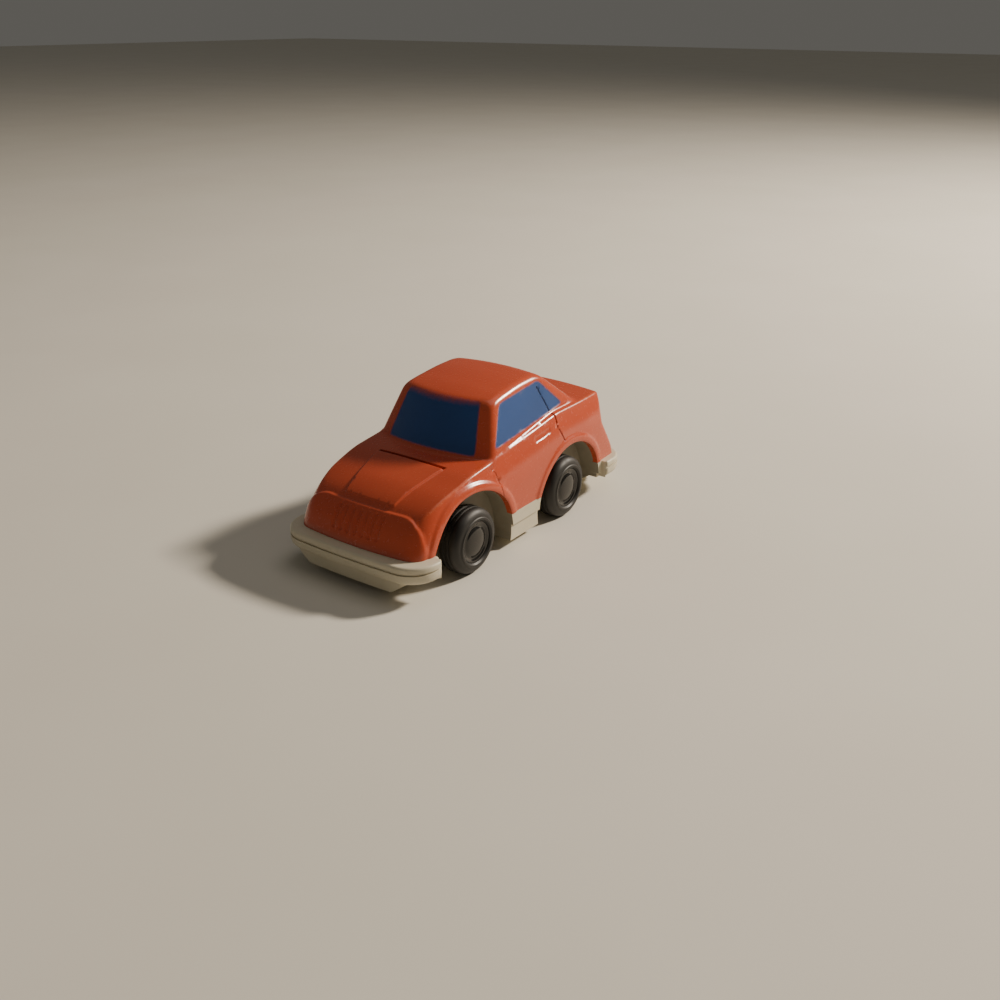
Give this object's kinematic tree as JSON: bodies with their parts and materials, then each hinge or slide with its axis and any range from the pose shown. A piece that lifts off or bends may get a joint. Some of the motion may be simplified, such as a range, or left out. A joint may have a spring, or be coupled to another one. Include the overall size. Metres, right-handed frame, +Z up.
{
  "type": "pull back toy car",
  "caption": "Small moulded toy saloon car with a wind-up pull-back motor on the rear axle, tray chassis with bumpers and free-rolling wheels.",
  "frame": {"origin": "on the ground under the middle of the car", "axes": "+Y from nose to tail, +X to the car's left side, +Z up"},
  "size_m": [0.037, 0.0794, 0.0337],
  "materials": {
    "shell_plastic": "moulded polystyrene, orange red, glossy, with blue painted windows",
    "tray_plastic": "moulded polypropylene, ivory, satin",
    "plated_steel": "zinc plated",
    "axle_steel": "drawn wire, bright",
    "spring_steel": "blued strip",
    "hub_plastic": "moulded, black, glossy",
    "tyre_rubber": "soft vinyl, black, satin",
    "gear_plastic": "acetal, natural white",
    "case_plastic": "polystyrene, light grey"
  },
  "bodies": {
    "car": {"body_shell": "shell_plastic", "chassis": "tray_plastic", "chassis_screws": "plated_steel", "motor_case": "case_plastic", "motor_cover": "case_plastic", "gear_pin": "axle_steel", "mainspring": "spring_steel"},
    "front_wheels": {"front_axle": "axle_steel", "front_left_hub": "hub_plastic", "front_left_tyre": "tyre_rubber", "front_right_hub": "hub_plastic", "front_right_tyre": "tyre_rubber"},
    "rear_wheels": {"rear_axle": "axle_steel", "rear_left_hub": "hub_plastic", "rear_left_tyre": "tyre_rubber", "rear_right_hub": "hub_plastic", "rear_right_tyre": "tyre_rubber", "axle_pinion": "gear_plastic"},
    "reduction": {"reduction_gear": "gear_plastic"},
    "spring_drive": {"spring_gear": "gear_plastic", "spring_arbor": "axle_steel"}
  },
  "joints": [
    {"name": "front_axle_spin", "type": "hinge", "parent": "car", "child": "front_wheels", "pos_m": [0, -0.0197, 0.007], "axis": [1, 0, 0], "continuous": true},
    {"name": "rear_axle_spin", "type": "hinge", "parent": "car", "child": "rear_wheels", "pos_m": [0, 0.0143, 0.007], "axis": [1, 0, 0], "continuous": true},
    {"name": "reduction_gear_spin", "type": "hinge", "parent": "car", "child": "reduction", "pos_m": [0, 0.00794, 0.0094], "axis": [1, 0, 0], "continuous": true},
    {"name": "spring_gear_spin", "type": "hinge", "parent": "car", "child": "spring_drive", "pos_m": [0, -0.00027, 0.0112], "axis": [1, 0, 0], "continuous": true}
  ],
  "couplings": [
    {"joint": "reduction_gear_spin", "follows": "rear_axle_spin", "ratio": -0.41667},
    {"joint": "spring_gear_spin", "follows": "rear_axle_spin", "ratio": 0.13021}
  ]
}
